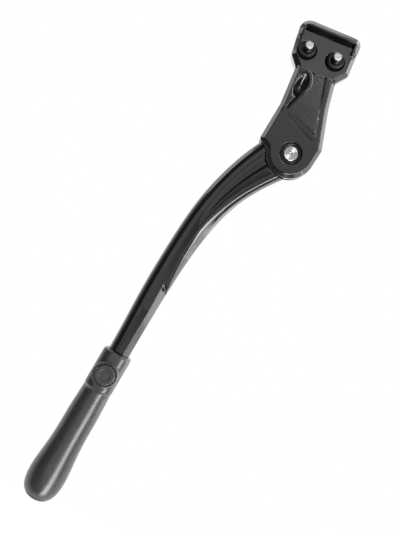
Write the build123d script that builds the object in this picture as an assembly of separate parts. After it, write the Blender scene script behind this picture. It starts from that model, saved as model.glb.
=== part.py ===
from build123d import *
import os
from math import acos, atan2, cos, hypot, radians, sin, tan

# Rear-mount bicycle kickstand, deployed and at its shortest.
# The pieces are drawn in the leg's own frame: pivot at the origin, pivot axis along Y,
# X to the right and Z up as seen from the bicycle. The last step turns and moves them all
# into the mount's frame: origin midway between the bolts on the seat, -Y towards the bicycle.

# Mount to the bicycle frame
SPLAY = 12.0
BOLT_PITCH = 18.0
BOLT_R = 3.0
BOLT_SHANK_R = 2.7
BOLT_HOLE_R = 3.3
BOLT_FREE_LENGTH = 5.2
BOLT_HEAD_R = 5.0
BOLT_HEAD_H = 6.0
BOLT_SOCKET_FLATS = 5.0
BOLT_SOCKET_DEPTH = 3.2
BOLT_TIP_CHAMFER = 0.7
BOLT_WASHER_R = 6.2
BOLT_WASHER_T = 1.2
KEEPER_R = 5.2
KEEPER_H = 3.0
KEEPER_SEAT_DEPTH = 1.2
KEEPER_SEAT_GAP = 0.35
KEEPER_RIBS = 24
KEEPER_RIB_R = 0.3
SEAT_LIP_CHAMFER = 0.4

# Bracket casting
MOUNT_X = -5.7
MOUNT_Z = 60.7
HEAD_LEFT = -24.7
HEAD_RIGHT = 14.0
HEAD_TOP = 78.2
HEAD_BOTTOM = 55.4
HEAD_CORNER_R = 4.6
HEAD_LEFT_CORNER_R = 6.6
HEAD_TAPER = 2.2
HEAD_T = 14.0
FLOOR_RUN_OUT_Z = 49.6
LIP_WALL_Z = 72.2
LIP_DRAFT = 15.0
LIP_RETURN = 4.0
LIP_SIDE_T = 3.4
WAIST_LEFT = -17.1
WAIST_RIGHT = 8.4
WAIST_TOP = 48.6
WAIST_R = 4.0
WAIST_FLARE_Z = 25.5
WAIST_FLARE_R = 10.0
WAIST_STEP = 2.4
WAIST_STEP_Z = 32.4
CHEEK_X = 16.6
CHEEK_Z = 8.3
CHEEK_R = 5.0
NUB_X = -20.7
NUB_Z = 0.9
NUB_R = 2.8
NUB_ROOT_R = 3.0
FRONT_Y = -12.0
REAR_EAR_T = 6.0
EAR_R = 14.9
SLOT_TOP_Z = 14.2
RIM_BEVEL = 2.6
RIM_DEPTH = 2.6
BACK_TAPER = 2.5
PAD_TILT_STEP = 0.9
PAD_HEEL_RUN = 3.0
PAD_TOP = (2.0, 49.3)
PAD_SHOULDER = (4.3, 39.1)
PAD_TOE = (9.6, 11.8)
PAD_HEEL = (-8.4, 18.9)
S_EDGE = [(-7.9, 48.5), (-5.3, 43.2), (-6.1, 37.3), (-9.2, 30.4), (-12.0, 22.6)]
SCOOP_LAND = 0.5
SCOOP_DEPTH = 1.8
DIMPLE_DEPTH = 2.4
DIMPLE_WIDTH = 5.4
DIMPLE_LENGTH = 12.5
DIMPLE_X = -10.4
DIMPLE_Z = 38.9
DIMPLE_TURN = 6.0

# Pivot
PIN_R = 4.4
PIN_FIT = 0.05
PIN_RECESS = 0.7
PIN_TAIL = 2.4
PIN_CHAMFER = 0.4
PIN_GROOVE_R = 3.5
PIN_RING_R = 6.3
PIN_RING_T = 1.2
PIN_SEAT_R = 6.6
PIN_SEAT_DEPTH = 1.8
CLIP_R = 7.2
CLIP_T = 1.0
CLIP_MOUTH = 4.6
BUSH_R = 6.5
SEAT_FIT = 0.02
THRUST_R = 11.0
THRUST_BORE_R = 4.6
THRUST_T = 0.5
SIDE_CLEARANCE = 0.05

# Brake that holds the leg where it is put
BRAKE_BORE_R = 3.6
BRAKE_BORE_TOP_Z = 36.0
BRAKE_SHOE_R = 3.5
BRAKE_SHOE_TOP_Z = 21.0
BRAKE_RUB_GAP = 0.08
BRAKE_WIRE_R = 0.45
BRAKE_COIL_R = 2.5
BRAKE_COIL_PITCH = 2.4

# Leg forging
TANG_R = 13.0
TANG_T = 8.0
SHOULDER_GAP = 0.4
STOP_GAP = 0.15
FOLD_ANGLE = 90.0
FOLD_GAP = 0.3
LEG_TOP_HALF_T = 9.0
LEG_END_HALF_T = 5.4
LEG_END_WIDTH = 13.4
LEG_LEFT_R = 7.0
LEG_BEVEL_DEPTH = 3.6
LEG_BACK_BEVEL = 2.2
LEG_TAPER_END = 0.8
# Right bevel's width at shares of the leg's length: it swells, then runs out at the lower facet
LEG_RIGHT_BEVEL = [
    (0, 2.7),
    (0.14, 2.7),
    (0.28, 3.2),
    (0.42, 3.7),
    (0.55, 2.8),
    (0.7, 0.4),
    (0.85, 0.4),
    (1, 0.4),
]
RIB_FACET = 2.3
RIB_FACET_DEPTH = 0.6
LEG_TOP_LEFT_RUN = (-0.6, -0.8)
LEG_TOP_RIGHT_RUN = (-0.64, -0.77)
LEG_LEFT = [(-16.1, 4.9), (-29.2, -16.8), (-40.6, -46.8), (-46.6, -75.5), (-51.5, -109.1)]
LEG_RIGHT = [(6.0, -10.7), (-5.0, -22.9), (-18.8, -42.9), (-27.3, -65.0), (-34.6, -97.5)]
GROOVE_STATIONS = 5
GROOVE_WIDTH = 3.0
GROOVE_DEPTH = 1.6
GROOVE_END = 0.38
GROOVE_FADE = 0.8
GROOVE_OFFSET = 0.8
LOWER_FACET = 3.5
LOWER_FACET_TIP = (-39.1, -100.6)
LOWER_FACET_RUN_OUT = (-35.5, -107.1)

# Shank and the foot that slides on it
SHANK_X = -49.1
SHANK_Z = -149.5
SHANK_LEAN = 7.6
SHANK_WIDTH = 11.0
SHANK_T = 9.6
SHANK_CORNER = 1.8
NOTCH_PITCH = 5.0
NOTCH_WIDTH = 2.0
NOTCH_DEPTH = 0.8
FOOT_TRAVEL = 40.0
END_PLATE_R = 7.2
END_PLATE_T = 1.5
END_SCREW_R = 2.0
END_SCREW_LENGTH = 10.0
END_SCREW_HEAD_R = 3.4
END_SCREW_HEAD_H = 2.6
END_SCREW_SLOT = 1.0
HOUSING_WIDTH = 18.0
HOUSING_FRONT_Y = -10.2
HOUSING_BACK_Y = 11.4
HOUSING_CORNER_R = 7.0
HOUSING_BOTTOM = 27.0
HOUSING_FOOT_CHAMFER = 2.4
COLLAR_GAP = 0.2
COLLAR_TOP_R = 1.6
SEAM = 14.6
SEAM_CHAMFER = 0.5
LINER_TOP = 1.2
LINER_BOTTOM = 12.4
LINER_T = 0.8
LINER_FIT = 0.1
BORE_CLEARANCE = 0.25
FOOT_BORE_R = 7.6
FOOT_FLANK = [(8.9, 24.0), (9.5, 42.0), (9.7, 58.0), (10.7, 72.0), (11.7, 85.0)]
FOOT_LENGTH = 102.0
PLUG_T = 10.0
END_ROOM = 7.9
TRAVEL_STOP_GAP = 0.3
PLUG_FIT = 0.05

# Push-button lock
BUTTON_R = 6.2
BUTTON_GAP = 0.3
BUTTON_FACE_Y = -13.4
BUTTON_BACK_Y = -8.7
BUTTON_TRAVEL = 2.0
BUTTON_RING_R = 4.6
BUTTON_RING_W = 0.9
BUTTON_DISH = 0.6
BUTTON_EDGE_R = 0.7
BOSS_R = 7.9
BOSS_Y = -12.4
YOKE_T = 2.8
YOKE_WIDTH = 14.0
YOKE_BAR = 1.2
YOKE_CORNER_R = 2.8
YOKE_GAP = 0.2
PAD_WIDTH = 9.0
PAD_T = 1.5
PAD_RUB_GAP = 0.05
LEAF_T = 0.4
LEAF_RISE = 2.0
LEAF_LENGTH = 8.0
LEAF_WIDTH = 2.4

# Values that follow from the ones above
EAR_INNER_Y = TANG_T / 2 + THRUST_T + 2 * SIDE_CLEARANCE
REAR_Y = EAR_INNER_Y + REAR_EAR_T
SHOULDER_R = EAR_R + SHOULDER_GAP
FLOOR_Y = FRONT_Y + tan(radians(SPLAY)) * (MOUNT_Z - FLOOR_RUN_OUT_Z)
NORMAL = Vector(0, -cos(radians(SPLAY)), sin(radians(SPLAY)))
FLOOR = Plane(origin=(MOUNT_X, FLOOR_Y, MOUNT_Z), x_dir=(1, 0, 0), z_dir=NORMAL)
MOUNT = FLOOR.offset(KEEPER_H)
LEAN_SIN = sin(radians(SHANK_LEAN))
LEAN_COS = cos(radians(SHANK_LEAN))
SHANK = Plane(
    origin=(SHANK_X, 0, SHANK_Z),
    x_dir=(LEAN_COS, 0, -LEAN_SIN),
    z_dir=(LEAN_SIN, 0, LEAN_COS),
)
PLUG_TOP = FOOT_LENGTH - PLUG_T
SHANK_LENGTH = PLUG_TOP - END_ROOM - END_SCREW_HEAD_H - END_PLATE_T
FOOT_BORE_TOP = SHANK_LENGTH - FOOT_TRAVEL - TRAVEL_STOP_GAP
YOKE_BACK_Y = SHANK_T / 2 + PAD_RUB_GAP + PAD_T + YOKE_BAR
CAVITY_BACK_Y = YOKE_BACK_Y + LEAF_RISE + LEAF_T
TO_MOUNT_FRAME = Rot(SPLAY, 0, 0) * Pos(-MOUNT.origin)


def slab(face, near, far):
    """A flat outline in X and Z made solid from y = near to y = far."""
    return extrude(Plane.XZ.offset(-far) * face, amount=far - near)


def barrel(radius, near, far, x=0, z=0):
    """A cylinder along the pivot's direction."""
    return slab(Pos(x, z) * Circle(radius), near, far)


def tube(outer, inner, near, far):
    """A ring about the pivot axis."""
    return slab(Circle(outer) - Circle(inner), near, far)


def rod(plane, radius, low, high, x=0, y=0):
    """A cylinder along a plane's normal, from low to high."""
    return extrude(plane.offset(low) * Pos(x, y) * Circle(radius), amount=high - low)


def turned(plane, profile):
    """A solid of revolution about a plane's normal, from (radius, height) points."""
    face = make_face(Polyline(*profile, close=True))
    return plane * revolve(Plane.XZ * face, Axis.Z)


def bolt_places():
    return [-BOLT_PITCH / 2, BOLT_PITCH / 2]


def stop_line(gap):
    """Stop face of the nub, from its tip to the ear's round end, lowered by a gap."""
    tip = Vector(NUB_X, NUB_Z - gap)
    root = Vector(-EAR_R * cos(radians(8)), -EAR_R * sin(radians(8)) - gap)
    return tip, root


def bracket_outline(x_zero=0, z_zero=0, stretch=1):
    """Front view of the casting: head, waist, cheek, round ear and stop nub.

    On a plane that leans back, heights count from z_zero and are stretched."""
    tip, root = stop_line(0)
    reach = hypot(CHEEK_X, CHEEK_Z)
    tangent = atan2(CHEEK_Z, CHEEK_X) - acos(EAR_R / reach)
    corners = [
        ((tip.X, tip.Y), NUB_R),
        ((WAIST_LEFT, WAIST_FLARE_Z), WAIST_FLARE_R),
        ((WAIST_LEFT, WAIST_TOP), WAIST_R),
        ((HEAD_LEFT + HEAD_TAPER, HEAD_BOTTOM), WAIST_R),
        ((HEAD_LEFT, HEAD_TOP), HEAD_LEFT_CORNER_R),
        ((HEAD_RIGHT, HEAD_TOP), HEAD_CORNER_R),
        ((HEAD_RIGHT, HEAD_BOTTOM), WAIST_R),
        ((WAIST_RIGHT, WAIST_TOP), WAIST_R),
        ((WAIST_RIGHT + WAIST_STEP, WAIST_STEP_Z), WAIST_FLARE_R),
        ((CHEEK_X, CHEEK_Z), CHEEK_R),
    ]
    ear = [(EAR_R * cos(tangent), EAR_R * sin(tangent)), (0, -EAR_R), (root.X, root.Y)]
    corners = [((x - x_zero, (z - z_zero) * stretch), radius) for (x, z), radius in corners]
    ear = [(x - x_zero, (z - z_zero) * stretch) for x, z in ear]
    places = [place for place, radius in corners]
    face = make_face([Polyline(ear[2], *places, ear[0]), ThreePointArc(*ear)])
    for place, radius in corners + [(ear[2], NUB_ROOT_R)]:
        corner = face.vertices().sort_by_distance(Vector(*place))[0]
        face = fillet(corner, radius)
    return face


def s_edge(shift):
    """The pad's S-shaped left edge, moved sideways by shift."""
    points = [(x + shift, z) for x, z in S_EDGE]
    return Spline(*points)


def pad_outline():
    """Front view of the tilted pad on the waist."""
    first = S_EDGE[0]
    last = S_EDGE[-1]
    rest = Polyline(last, PAD_HEEL, PAD_TOE, PAD_SHOULDER, PAD_TOP, first)
    return make_face([s_edge(0), rest])


def scoop_outline():
    """Front view of the lowered field between the pad's left edge and the rim."""
    curve = s_edge(-SCOOP_LAND)
    left = WAIST_LEFT + RIM_BEVEL + SCOOP_LAND
    rest = Polyline(curve @ 1, (left, S_EDGE[-1][1] + 6), (left, S_EDGE[0][1] - 3), curve @ 0)
    return make_face([curve, rest])


def back_profile():
    """Side view of the casting: deep at the ears, thin at the head, back face parallel to the floor."""
    rise = tan(radians(SPLAY))
    back_y = FLOOR_Y + HEAD_T / cos(radians(SPLAY))
    above = HEAD_TOP + HEAD_T
    return make_face(
        Polyline(
            (FRONT_Y, -2 * EAR_R),
            (REAR_Y, -2 * EAR_R),
            (REAR_Y, EAR_R),
            (back_y + rise * (WAIST_TOP - MOUNT_Z), WAIST_TOP),
            (back_y + rise * (above - MOUNT_Z), above),
            (FRONT_Y, above),
            close=True,
        )
    )


def mount_pocket():
    """Space in front of the tilted floor, closed at the top by the lip and its two short returns."""
    length = (LIP_WALL_Z - FLOOR_RUN_OUT_Z) / cos(radians(SPLAY))
    run_out = (MOUNT_Z - FLOOR_RUN_OUT_Z) / cos(radians(SPLAY))
    width = 2 * (HEAD_RIGHT - HEAD_LEFT)
    face = Pos(0, length / 2 - run_out) * Rectangle(width, length)
    pocket = extrude(FLOOR * face, amount=HEAD_T, taper=-LIP_DRAFT)
    for edge, inward in ((HEAD_LEFT + HEAD_TAPER / 4, 1), (HEAD_RIGHT, -1)):
        middle = edge + inward * (LIP_SIDE_T - HEAD_CORNER_R) / 2
        column = Pos(middle, (LIP_WALL_Z - LIP_RETURN + HEAD_TOP) / 2)
        face = column * Rectangle(LIP_SIDE_T + HEAD_CORNER_R, HEAD_TOP - LIP_WALL_Z + LIP_RETURN)
        pocket -= slab(face, FRONT_Y - HEAD_T, REAR_Y)
    return pocket


def tapered(plane, outline, inset, depth):
    """From a full outline, depth below the plane, to one on the plane that is set in all round."""
    smaller = offset(outline, amount=-inset, kind=Kind.INTERSECTION)
    return loft([plane.offset(-depth) * outline.face(), plane * smaller.face()], ruled=True)


def bracket():
    """Casting: tilted mounting floor under a lip, waist with pad and scoop, two ears."""
    outline = bracket_outline()
    profile = extrude(Plane.YZ.offset(2 * HEAD_LEFT) * back_profile(), amount=-4 * HEAD_LEFT)
    front = tapered(Plane.XZ.offset(-FRONT_Y), outline, RIM_BEVEL, RIM_DEPTH)
    back = tapered(Plane.XZ.offset(-REAR_Y), outline, BACK_TAPER, EAR_INNER_Y - REAR_Y)
    body = profile & (front + slab(outline, FRONT_Y + RIM_DEPTH, EAR_INNER_Y) + back)
    pocket = mount_pocket()
    body -= pocket

    # The same bevel runs along the floor's own edges
    foot_of_bevel = MOUNT_Z - RIM_DEPTH * sin(radians(SPLAY))
    leaning = bracket_outline(MOUNT_X, foot_of_bevel, 1 / cos(radians(SPLAY)))
    layer = FLOOR.offset(-RIM_DEPTH / 2) * Box(4 * HEAD_TOP, 4 * HEAD_TOP, RIM_DEPTH)
    under_pocket = Pos(-NORMAL * RIM_DEPTH) * pocket & layer
    body -= under_pocket - tapered(FLOOR, leaning, RIM_BEVEL, RIM_DEPTH)

    # Pad that sinks at its top and stands proud at its heel
    pad = slab(pad_outline(), FRONT_Y - PAD_TILT_STEP, FRONT_Y + 2 * PAD_TILT_STEP)
    top_z = PAD_TOP[1]
    heel_z = PAD_TOE[1]
    wedge = Polyline(
        (FRONT_Y + PAD_TILT_STEP, top_z),
        (FRONT_Y - PAD_TILT_STEP, heel_z),
        (FRONT_Y + 2 * PAD_TILT_STEP, heel_z),
        (FRONT_Y + 2 * PAD_TILT_STEP, top_z),
        close=True,
    )
    under_pad = extrude(Plane.YZ.offset(HEAD_LEFT) * make_face(wedge), amount=HEAD_RIGHT - HEAD_LEFT)
    raised = pad & under_pad
    heel_middle = (PAD_HEEL[0] + PAD_TOE[0]) / 2, FRONT_Y - PAD_TILT_STEP, (PAD_HEEL[1] + PAD_TOE[1]) / 2
    heel = raised.edges().sort_by_distance(heel_middle)[0]
    top_face = raised.faces().sort_by_distance((0, FRONT_Y, (top_z + heel_z) / 2))[0]
    raised = chamfer(heel, PAD_HEEL_RUN, PAD_TILT_STEP, reference=top_face)
    body = (body - pad) + raised

    # Lowered field beside the pad, with a finger-shaped dimple in it
    body -= slab(scoop_outline(), FRONT_Y - 1, FRONT_Y + SCOOP_DEPTH)
    dimple = scale(Sphere(1), by=(DIMPLE_WIDTH / 2, DIMPLE_DEPTH, DIMPLE_LENGTH / 2))
    body -= Pos(DIMPLE_X, FRONT_Y + SCOOP_DEPTH, DIMPLE_Z) * Rot(0, DIMPLE_TURN, 0) * dimple

    # Slot between the ears, pivot bore and the brake's blind bore above the slot
    slot_middle = (SLOT_TOP_Z - 2 * EAR_R) / 2
    body -= Pos(0, 0, slot_middle) * Box(4 * EAR_R, 2 * EAR_INNER_Y, SLOT_TOP_Z + 2 * EAR_R)
    body -= barrel(PIN_R + SEAT_FIT, FRONT_Y - 1, REAR_Y + 1)
    body -= barrel(PIN_SEAT_R, FRONT_Y - 1, FRONT_Y + PIN_SEAT_DEPTH)
    body -= rod(Plane.XY, BRAKE_BORE_R, 0, BRAKE_BORE_TOP_Z)

    # Bolt holes with a shallow chamfered seat for each keeper
    for x in bolt_places():
        body -= rod(FLOOR, BOLT_HOLE_R, -2 * HEAD_T, HEAD_T, x)
        seat = KEEPER_R + KEEPER_SEAT_GAP
        body -= rod(FLOOR, seat, -KEEPER_SEAT_DEPTH, HEAD_T, x)
        cone = Cone(seat, seat + SEAT_LIP_CHAMFER, SEAT_LIP_CHAMFER)
        body -= FLOOR.offset(-SEAT_LIP_CHAMFER / 2) * Pos(x, 0, 0) * cone
    return body


def mount_bolts():
    """Two socket-head bolts: heads at the bracket's back, full-size ends towards the bicycle."""
    tip = KEEPER_H + BOLT_FREE_LENGTH
    under_head = -HEAD_T - BOLT_WASHER_T
    end = under_head - BOLT_HEAD_H
    profile = [
        (0, tip),
        (BOLT_R - BOLT_TIP_CHAMFER, tip),
        (BOLT_R, tip - BOLT_TIP_CHAMFER),
        (BOLT_R, KEEPER_H),
        (BOLT_SHANK_R, KEEPER_H),
        (BOLT_SHANK_R, under_head),
        (BOLT_HEAD_R, under_head),
        (BOLT_HEAD_R, end + BOLT_TIP_CHAMFER),
        (BOLT_HEAD_R - BOLT_TIP_CHAMFER, end),
        (0, end),
    ]
    socket = RegularPolygon(BOLT_SOCKET_FLATS / 2, 6, major_radius=False)
    socket_hole = extrude(FLOOR.offset(end) * socket, amount=BOLT_SOCKET_DEPTH)
    bolt = turned(FLOOR, profile) - socket_hole
    return [Pos(x, 0, 0) * bolt for x in bolt_places()]


def bolt_washers():
    """A plain washer under each bolt head."""
    washers = []
    for x in bolt_places():
        ring = Circle(BOLT_WASHER_R) - Circle(BOLT_HOLE_R)
        plane = FLOOR.offset(-HEAD_T - BOLT_WASHER_T) * Pos(x, 0)
        washers.append(extrude(plane * ring, amount=BOLT_WASHER_T))
    return washers


def bolt_keepers():
    """A ribbed plastic ring on each bolt, seated in the floor."""
    keepers = []
    for x in bolt_places():
        ring = Circle(KEEPER_R - KEEPER_RIB_R) - Circle(BOLT_R + SEAT_FIT)
        ribs = PolarLocations(KEEPER_R - KEEPER_RIB_R, KEEPER_RIBS) * Circle(KEEPER_RIB_R)
        plane = FLOOR.offset(-KEEPER_SEAT_DEPTH) * Pos(x, 0)
        section_face = ring + ribs
        keepers.append(extrude(plane * section_face, amount=KEEPER_SEAT_DEPTH + KEEPER_H))
    return keepers


def pivot_pin():
    """Steel pin, its turned end in the front seat and a clip groove at its tail."""
    end = REAR_Y + PIN_TAIL
    pin = barrel(PIN_R, FRONT_Y + PIN_RECESS, end)
    pin = chamfer(pin.edges().filter_by(GeomType.CIRCLE), PIN_CHAMFER)
    groove = tube(PIN_R + 1, PIN_GROOVE_R, REAR_Y, REAR_Y + CLIP_T + 2 * SIDE_CLEARANCE)
    return pin - groove


def pin_ring():
    """Dark ring round the pin's end."""
    bottom = FRONT_Y + PIN_SEAT_DEPTH
    ring = tube(PIN_RING_R, PIN_R + PIN_FIT, bottom - PIN_RING_T, bottom)
    rim = ring.edges().filter_by(GeomType.CIRCLE).sort_by(Axis.Y)[:2]
    return chamfer(rim, PIN_CHAMFER)


def pin_clip():
    """Spring clip in the pin's groove, open at one side."""
    near = REAR_Y + SIDE_CLEARANCE
    ring = tube(CLIP_R, PIN_GROOVE_R + SEAT_FIT, near, near + CLIP_T)
    mouth = Pos(0, near, -CLIP_R / 2) * Box(CLIP_MOUTH, 4 * CLIP_T, CLIP_R)
    return ring - mouth


def brake_shoe():
    """Plunger with a hollow end that rubs on the tang's round end."""
    shoe = rod(Plane.XY, BRAKE_SHOE_R, 0, BRAKE_SHOE_TOP_Z)
    return shoe - barrel(TANG_R + BRAKE_RUB_GAP, -TANG_R, TANG_R)


def brake_spring():
    """Coil spring between the shoe and the blind end of its bore."""
    low = BRAKE_SHOE_TOP_Z + BRAKE_WIRE_R
    height = BRAKE_BORE_TOP_Z - BRAKE_WIRE_R - low
    path = Pos(0, 0, low) * Helix(BRAKE_COIL_PITCH, height, BRAKE_COIL_R)
    wire = Plane(path @ 0, z_dir=path % 0) * Circle(BRAKE_WIRE_R)
    return sweep(wire, path=path)


def shank_section(grow=0):
    """The shank's cross-section, grown all round."""
    face = Rectangle(SHANK_WIDTH + 2 * grow, SHANK_T + 2 * grow)
    return chamfer(face.vertices(), SHANK_CORNER)


def leg_edges():
    """Left and right edges of the leg in front view, ending square to the shank."""
    half = LEG_END_WIDTH / 2
    left_end = (SHANK_X - half * LEAN_COS, SHANK_Z + half * LEAN_SIN)
    right_end = (SHANK_X + half * LEAN_COS, SHANK_Z - half * LEAN_SIN)
    down = (-LEAN_SIN, -LEAN_COS)
    left = Spline(*LEG_LEFT, left_end, tangents=[LEG_TOP_LEFT_RUN, down])
    right = Spline(*LEG_RIGHT, right_end, tangents=[LEG_TOP_RIGHT_RUN, down])
    return left, right


def leg_station(left, right, share):
    """Plane across the leg at a share of its length, its width and its half thickness."""
    a = left @ share
    b = right @ share
    start = Vector(a.X, 0, a.Y)
    across = Vector(b.X, 0, b.Y) - start
    plane = Plane(start + across / 2, x_dir=across, z_dir=across.cross(Vector(0, 1, 0)))
    half_t = LEG_TOP_HALF_T + (LEG_END_HALF_T - LEG_TOP_HALF_T) * min(1, share / LEG_TAPER_END)
    return plane, across.length, half_t


def lower_facet():
    """Wedge cut off the leg's lower right edge; it starts in a point on the front face."""
    tip_x, tip_z = LOWER_FACET_TIP
    side = LEG_END_WIDTH / 2 - LOWER_FACET
    end_x = SHANK_X + side * LEAN_COS
    end_z = SHANK_Z - side * LEAN_SIN
    run = Vector(end_x - tip_x, 0, end_z - tip_z)
    far = Vector(end_x, 0, end_z) + run
    beside = LEG_END_WIDTH
    low = [(far.X + beside, far.Z), (far.X, far.Z)]
    outline = Polyline(LOWER_FACET_TIP, LOWER_FACET_RUN_OUT, *low, close=True)
    plane = Plane(
        (end_x, -LEG_END_HALF_T, end_z),
        x_dir=run,
        z_dir=run.cross(Vector(1, 1, 0)),
    )
    reach = 2 * run.length
    in_front = extrude(plane * Rectangle(2 * reach, 2 * reach), amount=reach)
    return slab(make_face(outline), -2 * LEG_TOP_HALF_T, 2 * LEG_TOP_HALF_T) & in_front


def leg():
    """Forging: tang and shoulder at the pivot, curved bevelled leg, straight shank."""
    left, right = leg_edges()
    stations = []
    grooves = []
    for share, bevel in LEG_RIGHT_BEVEL:
        plane, width, half_t = leg_station(left, right, share)
        half = width / 2
        slope = bevel / LEG_RIGHT_BEVEL[0][1]
        ring = [
            (-half, LEG_LEFT_R - half_t),
            (LEG_LEFT_R * (1 - cos(radians(30))) - half, LEG_LEFT_R * (1 - sin(radians(30))) - half_t),
            (LEG_LEFT_R * (1 - cos(radians(60))) - half, LEG_LEFT_R * (1 - sin(radians(60))) - half_t),
            (LEG_LEFT_R - half, -half_t),
            (half - bevel - RIB_FACET, -half_t),
            (half - bevel, RIB_FACET_DEPTH * slope - half_t),
            (half, LEG_BEVEL_DEPTH * slope - half_t),
            (half, half_t - LEG_BACK_BEVEL),
            (half - LEG_BACK_BEVEL, half_t),
            (LEG_BACK_BEVEL - half, half_t),
            (-half, half_t - LEG_BACK_BEVEL),
        ]
        stations.append(plane * make_face(Polyline(*ring, close=True)))
    body = loft(stations)
    for index in range(GROOVE_STATIONS):
        along = index / (GROOVE_STATIONS - 1)
        plane, width, half_t = leg_station(left, right, GROOVE_END * along)
        fade = 1 - GROOVE_FADE * along
        reach = GROOVE_WIDTH / 2 * fade
        proud = -half_t - GROOVE_DEPTH * fade
        ring = [
            (GROOVE_OFFSET - 2 * reach, proud),
            (GROOVE_OFFSET + 2 * reach, proud),
            (GROOVE_OFFSET, GROOVE_DEPTH * fade - half_t),
        ]
        grooves.append(plane * make_face(Polyline(*ring, close=True)))
    body -= loft(grooves)
    body -= lower_facet()

    # Shoulders that clear the ears, and the stop face under the nub
    deep = 3 * LEG_TOP_HALF_T
    tip, root = stop_line(STOP_GAP)
    deployed = offset(bracket_outline(), amount=STOP_GAP)
    folded = Rot(0, 0, -FOLD_ANGLE) * offset(bracket_outline(), amount=FOLD_GAP)
    for near, far in ((-deep, -TANG_T / 2), (TANG_T / 2, deep)):
        body -= barrel(SHOULDER_R, near, far)
        body -= slab(deployed, near, far)
        body -= slab(folded, near, far)
        over = [tip + (tip - root), root, (0, 0), (0, 2 * EAR_R), (2 * NUB_X, 2 * EAR_R)]
        body -= slab(make_face(Polyline(*over, close=True)), near, far)
    body -= barrel(TANG_R, -TANG_T / 2, TANG_T / 2)
    body += barrel(TANG_R, -TANG_T / 2, TANG_T / 2)
    body -= barrel(BUSH_R, -deep, deep)

    # Shank with a row of notches on its back
    shank = extrude(SHANK.offset(-SHANK_LENGTH) * shank_section(), amount=SHANK_LENGTH + 1)
    steps = int(FOOT_TRAVEL / NOTCH_PITCH)
    for step in range(steps + 1):
        place = Pos(0, SHANK_T / 2, -SEAM - NOTCH_PITCH * step)
        shank -= SHANK * place * Box(2 * SHANK_WIDTH, 2 * NOTCH_DEPTH, NOTCH_WIDTH)
    body += shank
    screw_hole = END_SCREW_LENGTH + END_SCREW_R
    return body - rod(SHANK.offset(-SHANK_LENGTH), END_SCREW_R + SEAT_FIT, -1, screw_hole)


def pivot_bush():
    """Bronze bush pressed in the tang."""
    return tube(BUSH_R - SEAT_FIT, PIN_R + PIN_FIT, -TANG_T / 2, TANG_T / 2)


def thrust_washers():
    """A thin washer on each side of the tang."""
    near = TANG_T / 2
    washers = []
    for low in (-near - THRUST_T, near):
        washers.append(tube(THRUST_R, THRUST_BORE_R, low, low + THRUST_T))
    return washers


def shank_end_plate():
    """Round plate on the shank's end that stops the foot at full length."""
    ring = Circle(END_PLATE_R) - Circle(END_SCREW_R + SEAT_FIT)
    return extrude(SHANK.offset(-SHANK_LENGTH - END_PLATE_T) * ring, amount=END_PLATE_T)


def shank_end_screw():
    """Screw that holds the end plate."""
    under = -SHANK_LENGTH - END_PLATE_T
    thread = rod(SHANK, END_SCREW_R, under, under + END_SCREW_LENGTH)
    head = rod(SHANK, END_SCREW_HEAD_R, under - END_SCREW_HEAD_H, under)
    cutter = Box(3 * END_SCREW_HEAD_R, END_SCREW_SLOT, END_SCREW_HEAD_H)
    return thread + head - SHANK * Pos(0, 0, under - END_SCREW_HEAD_H) * cutter


def foot_body():
    """Outer form of the foot: lock housing with the button's boss, neck, flare and domed end."""
    depth = HOUSING_BACK_Y - HOUSING_FRONT_Y
    middle = (HOUSING_BACK_Y + HOUSING_FRONT_Y) / 2
    block = Pos(0, middle) * RectangleRounded(HOUSING_WIDTH, depth, HOUSING_CORNER_R)
    housing = extrude(SHANK.offset(-HOUSING_BOTTOM) * block, amount=HOUSING_BOTTOM - COLLAR_GAP)
    top_rim = housing.edges().group_by(Axis((0, 0, 0), SHANK.z_dir))[-1]
    housing = fillet(top_rim, COLLAR_TOP_R)
    low_rim = housing.edges().group_by(Axis((0, 0, 0), SHANK.z_dir))[0]
    housing = chamfer(low_rim, HOUSING_FOOT_CHAMFER)

    flank = Spline(*[(radius, -low) for radius, low in FOOT_FLANK], tangents=[(0, -1), (0, -1)])
    top = flank @ 0
    dome = Spline(flank @ 1, (0, -FOOT_LENGTH), tangents=[(0, -1), (-1, 0)])
    axis_line = Polyline((0, -FOOT_LENGTH), (0, -SEAM), (top.X, -SEAM), (top.X, top.Y))
    bell = revolve(Plane.XZ * make_face([flank, dome, axis_line]), Axis.Z)
    boss = chamfer(barrel(BOSS_R, BOSS_Y, 0).edges().sort_by(Axis.Y)[0], SEAM_CHAMFER)
    return housing + SHANK * bell + SHANK * Pos(0, 0, -SEAM) * boss


def yoke_outline(clearance, back):
    """Outline of the yoke, round at its back corners and larger by a clearance, up to a back edge."""
    front = BUTTON_BACK_Y - clearance
    width = YOKE_WIDTH + 2 * clearance
    depth = back - front
    whole = RectangleRounded(width, 2 * depth, YOKE_CORNER_R + clearance)
    return Pos(0, front) * (whole - Pos(0, -depth) * Rectangle(2 * width, 2 * depth))


def foot_hollow():
    """Space inside the foot: shank bore, wide bore, lock cavity and the button's bore."""
    neck = extrude(SHANK.offset(-FOOT_BORE_TOP) * shank_section(BORE_CLEARANCE), amount=FOOT_BORE_TOP + 1)
    wide = rod(SHANK, FOOT_BORE_R, -2 * FOOT_LENGTH, -FOOT_BORE_TOP)
    space = SHANK.offset(-SEAM - YOKE_T / 2 - YOKE_GAP) * yoke_outline(YOKE_GAP, CAVITY_BACK_Y)
    cavity = extrude(space, amount=YOKE_T + 2 * YOKE_GAP)
    bore_end = BUTTON_BACK_Y + BUTTON_TRAVEL + YOKE_GAP
    bore = Pos(0, 0, -SEAM) * barrel(BUTTON_R + BUTTON_GAP, 2 * BOSS_Y, bore_end)
    return neck + wide + cavity + SHANK * bore


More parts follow.
